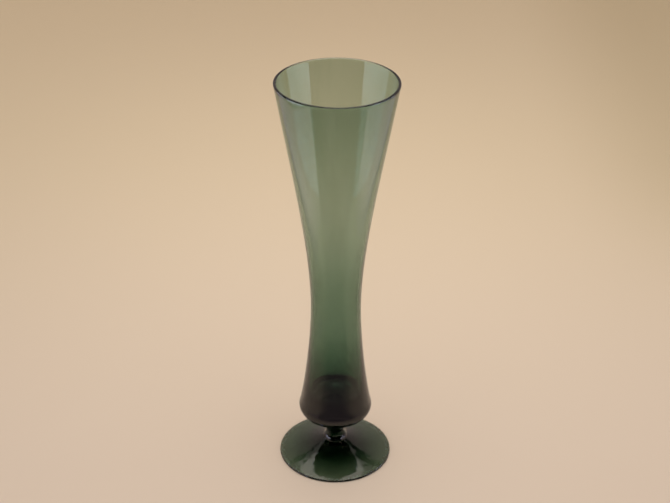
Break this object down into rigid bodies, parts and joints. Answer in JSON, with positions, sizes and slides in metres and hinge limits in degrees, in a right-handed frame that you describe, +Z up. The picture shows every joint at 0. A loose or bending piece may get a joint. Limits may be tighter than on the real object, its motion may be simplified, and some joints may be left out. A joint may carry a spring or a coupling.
{
  "type": "trumpet vase",
  "caption": "Tall footed glass vase for cut flowers: trumpet bowl flaring from a narrow waist, thick solid base, short beaded stem and a conical foot, in smoked green glass.",
  "frame": {"origin": "middle of the flat ring that the foot stands on", "axes": "+Z up the vase's axis to the mouth; the vase is round, so X and Y have no marked direction"},
  "size_m": [0.0702, 0.0702, 0.25],
  "materials": {
    "bowl_glass": "fire-polished, smoked green, blown",
    "stem_glass": "fire-polished, smoked green, solid",
    "foot_glass": "fire-polished, smoked green, pressed by hand tools"
  },
  "bodies": {
    "root": {"bowl": "bowl_glass", "stem": "stem_glass", "foot": "foot_glass"}
  },
  "joints": []
}
